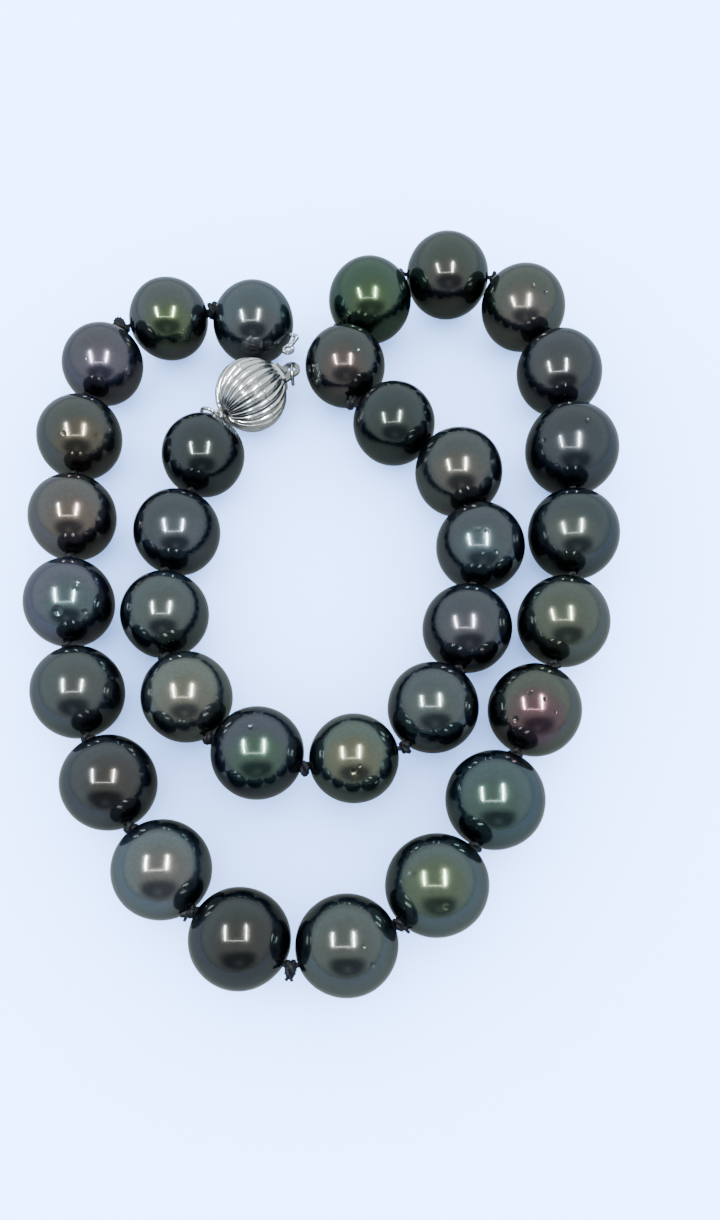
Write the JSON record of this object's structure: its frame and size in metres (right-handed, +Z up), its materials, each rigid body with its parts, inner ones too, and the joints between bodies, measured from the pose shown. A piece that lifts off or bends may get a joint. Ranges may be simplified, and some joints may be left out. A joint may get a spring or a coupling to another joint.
{
  "type": "pearl necklace",
  "caption": "Strand of dark, graduated pearls knotted on black silk, closed by a fluted ball clasp with a push-in tongue and laid flat in a horseshoe.",
  "frame": {"origin": "on the surface that the necklace lies on, under the middle of its box", "axes": "+Z up, +Y towards the side where the clasp lies, along the horseshoe's long side"},
  "size_m": [0.079, 0.1098, 0.0124],
  "materials": {
    "pearl_charcoal": "gloss",
    "pearl_pistachio": "gloss",
    "pearl_peacock": "gloss",
    "pearl_olive": "gloss",
    "pearl_aubergine": "gloss",
    "silk": "matte",
    "white_metal": "gloss"
  },
  "bodies": {
    "strand_middle": {"silk_16_18": "silk", "pearl_17": "pearl_charcoal"},
    "run_14_15": {"silk_14_15": "silk"},
    "pearl_14": {"pearl_14": "pearl_olive"},
    "pearl_15": {"pearl_15": "pearl_olive"},
    "run_10_13": {"silk_10_13": "silk"},
    "pearl_10": {"pearl_10": "pearl_olive"},
    "pearl_11": {"pearl_11": "pearl_peacock"},
    "pearl_12": {"pearl_12": "pearl_aubergine"},
    "pearl_13": {"pearl_13": "pearl_peacock"},
    "run_08_09": {"silk_08_09": "silk"},
    "pearl_08": {"pearl_08": "pearl_aubergine"},
    "pearl_09": {"pearl_09": "pearl_charcoal"},
    "run_06_07": {"silk_06_07": "silk"},
    "pearl_06": {"pearl_06": "pearl_peacock"},
    "pearl_07": {"pearl_07": "pearl_olive"},
    "run_04_05": {"silk_04_05": "silk"},
    "pearl_04": {"pearl_04": "pearl_pistachio"},
    "pearl_05": {"pearl_05": "pearl_peacock"},
    "run_02_03": {"silk_02_03": "silk"},
    "pearl_02": {"pearl_02": "pearl_charcoal"},
    "pearl_03": {"pearl_03": "pearl_pistachio"},
    "run_01": {"silk_01": "silk", "wire_coil_a": "white_metal"},
    "pearl_01": {"pearl_01": "pearl_charcoal"},
    "run_19_20": {"silk_19_20": "silk"},
    "pearl_19": {"pearl_19": "pearl_olive"},
    "pearl_20": {"pearl_20": "pearl_peacock"},
    "run_21_22": {"silk_21_22": "silk"},
    "pearl_21": {"pearl_21": "pearl_peacock"},
    "pearl_22": {"pearl_22": "pearl_pistachio"},
    "run_23_24": {"silk_23_24": "silk"},
    "pearl_23": {"pearl_23": "pearl_pistachio"},
    "pearl_24": {"pearl_24": "pearl_olive"},
    "run_25_26": {"silk_25_26": "silk"},
    "pearl_25": {"pearl_25": "pearl_pistachio"},
    "pearl_26": {"pearl_26": "pearl_aubergine"},
    "run_27_28": {"silk_27_28": "silk"},
    "pearl_27": {"pearl_27": "pearl_pistachio"},
    "pearl_28": {"pearl_28": "pearl_aubergine"},
    "run_29_30": {"silk_29_30": "silk"},
    "pearl_29": {"pearl_29": "pearl_aubergine"},
    "pearl_30": {"pearl_30": "pearl_olive"},
    "run_31_32": {"silk_31_32": "silk"},
    "pearl_31": {"pearl_31": "pearl_aubergine"},
    "pearl_32": {"pearl_32": "pearl_pistachio"},
    "run_33": {"silk_33": "silk", "wire_coil_b": "white_metal"},
    "pearl_33": {"pearl_33": "pearl_charcoal"},
    "pearl_16": {"pearl_16": "pearl_charcoal"},
    "pearl_18": {"pearl_18": "pearl_peacock"},
    "clasp_ball": {"ball_rear_shell": "white_metal", "ball_front_shell": "white_metal", "ball_mouth_plate": "white_metal", "ball_eyelet": "white_metal"},
    "clasp_ring_a": {"jump_ring_a": "white_metal"},
    "clasp_tongue": {"tongue_base": "white_metal"},
    "clasp_thumb": {"tongue_spring": "white_metal"},
    "clasp_ring_b": {"jump_ring_b": "white_metal"}
  },
  "joints": [
    {"name": "clasp_raise", "type": "hinge", "parent": "run_02_03", "child": "run_01", "pos_m": [-0.0183, 0.01247, 0.00565], "axis": [0.9848, -0.1736, 0], "range_deg": [0, 36]},
    {"name": "clasp_ball_tilt", "type": "hinge", "parent": "run_01", "child": "clasp_ball", "pos_m": [-0.01491, 0.02512, 0.005], "axis": [0.6561, -0.7547, 0], "range_deg": [0, 15]},
    {"name": "clasp_ring_a_swing", "type": "hinge", "parent": "run_01", "child": "clasp_ring_a", "pos_m": [-0.01491, 0.02512, 0.005], "axis": [0, 0, 1], "range_deg": [-20, 20]},
    {"name": "clasp_ring_b_swing", "type": "hinge", "parent": "clasp_tongue", "child": "clasp_ring_b", "pos_m": [-0.00472, 0.03398, 0.005], "axis": [0, 0, 1], "range_deg": [-8, 20]},
    {"name": "clasp_thumb_press", "type": "hinge", "parent": "clasp_tongue", "child": "clasp_thumb", "pos_m": [-0.01084, 0.02866, 0.00485], "axis": [-0.6561, 0.7547, 0], "range_deg": [0, 5], "stiffness_Nm_per_rad": 0.01},
    {"name": "clasp_tongue_slide", "type": "slide", "parent": "clasp_ball", "child": "clasp_tongue", "axis": [0.7547, 0.6561, 0], "range_m": [0, 0.0054]},
    {"name": "lift_03", "type": "hinge", "parent": "run_04_05", "child": "run_02_03", "pos_m": [-0.02047, -0.0121, 0.00565], "axis": [1, 0, 0], "range_deg": [0, 20]},
    {"name": "lift_05", "type": "hinge", "parent": "run_06_07", "child": "run_04_05", "pos_m": [-0.003, -0.02734, 0.00566], "axis": [0.6428, 0.766, 0], "range_deg": [0, 15]},
    {"name": "lift_07", "type": "hinge", "parent": "run_08_09", "child": "run_06_07", "pos_m": [0.01628, -0.01483, 0.00569], "axis": [0.0872, 0.9962, 0], "range_deg": [0, 12]},
    {"name": "lift_09", "type": "hinge", "parent": "run_10_13", "child": "run_08_09", "pos_m": [0.02115, 0.00915, 0.00573], "axis": [-0.342, 0.9397, 0], "range_deg": [0, 12]},
    {"name": "lift_13", "type": "hinge", "parent": "run_14_15", "child": "run_10_13", "pos_m": [0.0113, 0.04957, 0.00591], "axis": [-0.9397, 0.342, 0], "range_deg": [0, 12]},
    {"name": "lift_15", "type": "hinge", "parent": "strand_middle", "child": "run_14_15", "pos_m": [0.03217, 0.03721, 0.00606], "axis": [0, 1, 0], "range_deg": [0, 12]},
    {"name": "lift_18", "type": "hinge", "parent": "strand_middle", "child": "run_19_20", "pos_m": [0.03169, -0.00213, 0.0061], "axis": [-0.1736, 0.9848, 0], "range_deg": [0, 8]},
    {"name": "lift_20", "type": "hinge", "parent": "run_19_20", "child": "run_21_22", "pos_m": [0.02243, -0.02628, 0.00599], "axis": [0, 1, 0], "range_deg": [0, 8]},
    {"name": "lift_22", "type": "hinge", "parent": "run_21_22", "child": "run_23_24", "pos_m": [0.00763, -0.04669, 0.00591], "axis": [0.5, 0.866, 0], "range_deg": [0, 8]},
    {"name": "lift_24", "type": "hinge", "parent": "run_23_24", "child": "run_25_26", "pos_m": [-0.01584, -0.04466, 0.00586], "axis": [0.866, 0.5, 0], "range_deg": [0, 8]},
    {"name": "lift_26", "type": "hinge", "parent": "run_25_26", "child": "run_27_28", "pos_m": [-0.02943, -0.02288, 0.00583], "axis": [1, 0, 0], "range_deg": [0, 8]},
    {"name": "lift_28", "type": "hinge", "parent": "run_27_28", "child": "run_29_30", "pos_m": [-0.03346, 0.00253, 0.00581], "axis": [0.9848, -0.1736, 0], "range_deg": [0, 8]},
    {"name": "lift_30", "type": "hinge", "parent": "run_29_30", "child": "run_31_32", "pos_m": [-0.03346, 0.02833, 0.0058], "axis": [0.766, -0.6428, 0], "range_deg": [0, 10]},
    {"name": "lift_32", "type": "hinge", "parent": "run_31_32", "child": "run_33", "pos_m": [-0.01606, 0.04372, 0.0058], "axis": [-0.342, -0.9397, 0], "range_deg": [0, 20]},
    {"name": "pearl_01_spin", "type": "hinge", "parent": "run_01", "child": "pearl_01", "pos_m": [-0.01667, 0.01855, 0.00565], "axis": [-0.2588, -0.9659, 0], "continuous": true},
    {"name": "pearl_02_spin", "type": "hinge", "parent": "run_02_03", "child": "pearl_02", "pos_m": [-0.01972, 0.00633, 0.00565], "axis": [-0.225, -0.9744, 0], "continuous": true},
    {"name": "pearl_03_spin", "type": "hinge", "parent": "run_02_03", "child": "pearl_03", "pos_m": [-0.02079, -0.0059, 0.00565], "axis": [0.0523, -0.9986, 0.0001], "continuous": true},
    {"name": "pearl_04_spin", "type": "hinge", "parent": "run_04_05", "child": "pearl_04", "pos_m": [-0.01755, -0.01757, 0.00565], "axis": [0.4695, -0.8829, 0.0003], "continuous": true},
    {"name": "pearl_05_spin", "type": "hinge", "parent": "run_04_05", "child": "pearl_05", "pos_m": [-0.00871, -0.02526, 0.00566], "axis": [0.9397, -0.342, 0.0005], "continuous": true},
    {"name": "pearl_06_spin", "type": "hinge", "parent": "run_06_07", "child": "pearl_06", "pos_m": [0.00298, -0.02617, 0.00567], "axis": [0.9816, 0.1908, 0.0008], "continuous": true},
    {"name": "pearl_07_spin", "type": "hinge", "parent": "run_06_07", "child": "pearl_07", "pos_m": [0.01282, -0.01977, 0.00568], "axis": [0.5736, 0.8192, 0.0012], "continuous": true},
    {"name": "pearl_08_spin", "type": "hinge", "parent": "run_08_09", "child": "pearl_08", "pos_m": [0.01764, -0.00894, 0.0057], "axis": [0.225, 0.9744, 0.0016], "continuous": true},
    {"name": "pearl_09_spin", "type": "hinge", "parent": "run_08_09", "child": "pearl_09", "pos_m": [0.02006, 0.00292, 0.00572], "axis": [0.1736, 0.9848, 0.0021], "continuous": true},
    {"name": "pearl_10_spin", "type": "hinge", "parent": "run_10_13", "child": "pearl_10", "pos_m": [0.01788, 0.01459, 0.00575], "axis": [-0.515, 0.8572, 0.0026], "continuous": true},
    {"name": "pearl_11_spin", "type": "hinge", "parent": "run_10_13", "child": "pearl_11", "pos_m": [0.00944, 0.02302, 0.00578], "axis": [-0.8572, 0.515, 0.0032], "continuous": true},
    {"name": "pearl_12_spin", "type": "hinge", "parent": "run_10_13", "child": "pearl_12", "pos_m": [0.00292, 0.03311, 0.00583], "axis": [-0.1219, 0.9925, 0.0037], "continuous": true},
    {"name": "pearl_13_spin", "type": "hinge", "parent": "run_10_13", "child": "pearl_13", "pos_m": [0.00668, 0.04462, 0.00588], "axis": [0.682, 0.7313, 0.0043], "continuous": true},
    {"name": "pearl_14_spin", "type": "hinge", "parent": "run_14_15", "child": "pearl_14", "pos_m": [0.01811, 0.04897, 0.00594], "axis": [0.9962, -0.0872, 0.005], "continuous": true},
    {"name": "pearl_15_spin", "type": "hinge", "parent": "run_14_15", "child": "pearl_15", "pos_m": [0.02869, 0.04257, 0.00602], "axis": [0.5446, -0.8387, 0.0059], "continuous": true},
    {"name": "pearl_16_spin", "type": "hinge", "parent": "strand_middle", "child": "pearl_16", "pos_m": [0.03285, 0.03076, 0.0061], "axis": [0.1045, -0.9945, 0.007], "continuous": true},
    {"name": "pearl_18_spin", "type": "hinge", "parent": "strand_middle", "child": "pearl_18", "pos_m": [0.03238, 0.00441, 0.00613], "axis": [-0.1045, -0.9945, -0.005], "continuous": true},
    {"name": "pearl_19_spin", "type": "hinge", "parent": "run_19_20", "child": "pearl_19", "pos_m": [0.0299, -0.0084, 0.00607], "axis": [-0.2756, -0.9613, -0.0044], "continuous": true},
    {"name": "pearl_20_spin", "type": "hinge", "parent": "run_19_20", "child": "pearl_20", "pos_m": [0.02527, -0.02047, 0.00601], "axis": [-0.4384, -0.8988, -0.0038], "continuous": true},
    {"name": "pearl_21_spin", "type": "hinge", "parent": "run_21_22", "child": "pearl_21", "pos_m": [0.01962, -0.03205, 0.00597], "axis": [-0.4384, -0.8988, -0.0033], "continuous": true},
    {"name": "pearl_22_spin", "type": "hinge", "parent": "run_21_22", "child": "pearl_22", "pos_m": [0.01221, -0.04225, 0.00593], "axis": [-0.7193, -0.6947, -0.0028], "continuous": true},
    {"name": "pearl_23_spin", "type": "hinge", "parent": "run_23_24", "child": "pearl_23", "pos_m": [0.0017, -0.04896, 0.0059], "axis": [-0.9336, -0.3584, -0.0022], "continuous": true},
    {"name": "pearl_24_spin", "type": "hinge", "parent": "run_23_24", "child": "pearl_24", "pos_m": [-0.01042, -0.04791, 0.00587], "axis": [-0.8572, 0.515, -0.0018], "continuous": true},
    {"name": "pearl_25_spin", "type": "hinge", "parent": "run_25_26", "child": "pearl_25", "pos_m": [-0.01963, -0.03963, 0.00585], "axis": [-0.6018, 0.7986, -0.0015], "continuous": true},
    {"name": "pearl_26_spin", "type": "hinge", "parent": "run_25_26", "child": "pearl_26", "pos_m": [-0.02649, -0.02866, 0.00583], "axis": [-0.454, 0.891, -0.0011], "continuous": true},
    {"name": "pearl_27_spin", "type": "hinge", "parent": "run_27_28", "child": "pearl_27", "pos_m": [-0.03111, -0.01663, 0.00582], "axis": [-0.2588, 0.9659, -0.0008], "continuous": true},
    {"name": "pearl_28_spin", "type": "hinge", "parent": "run_27_28", "child": "pearl_28", "pos_m": [-0.03312, -0.00393, 0.00581], "axis": [-0.0523, 0.9986, -0.0006], "continuous": true},
    {"name": "pearl_29_spin", "type": "hinge", "parent": "run_29_30", "child": "pearl_29", "pos_m": [-0.03368, 0.00898, 0.00581], "axis": [-0.0349, 0.9994, -0.0004], "continuous": true},
    {"name": "pearl_30_spin", "type": "hinge", "parent": "run_29_30", "child": "pearl_30", "pos_m": [-0.03368, 0.02188, 0.0058], "axis": [0.0349, 0.9994, -0.0002], "continuous": true},
    {"name": "pearl_31_spin", "type": "hinge", "parent": "run_31_32", "child": "pearl_31", "pos_m": [-0.03136, 0.03443, 0.0058], "axis": [0.3256, 0.9455, -0.0001], "continuous": true},
    {"name": "pearl_32_spin", "type": "hinge", "parent": "run_31_32", "child": "pearl_32", "pos_m": [-0.02237, 0.04238, 0.0058], "axis": [0.9781, 0.2079, 0], "continuous": true},
    {"name": "pearl_33_spin", "type": "hinge", "parent": "run_33", "child": "pearl_33", "pos_m": [-0.01012, 0.0412, 0.0058], "axis": [0.9205, -0.3907, 0], "continuous": true}
  ],
  "couplings": [
    {"joint": "clasp_tongue_slide", "follows": "clasp_raise", "m_per_rad": 0.0085935}
  ]
}
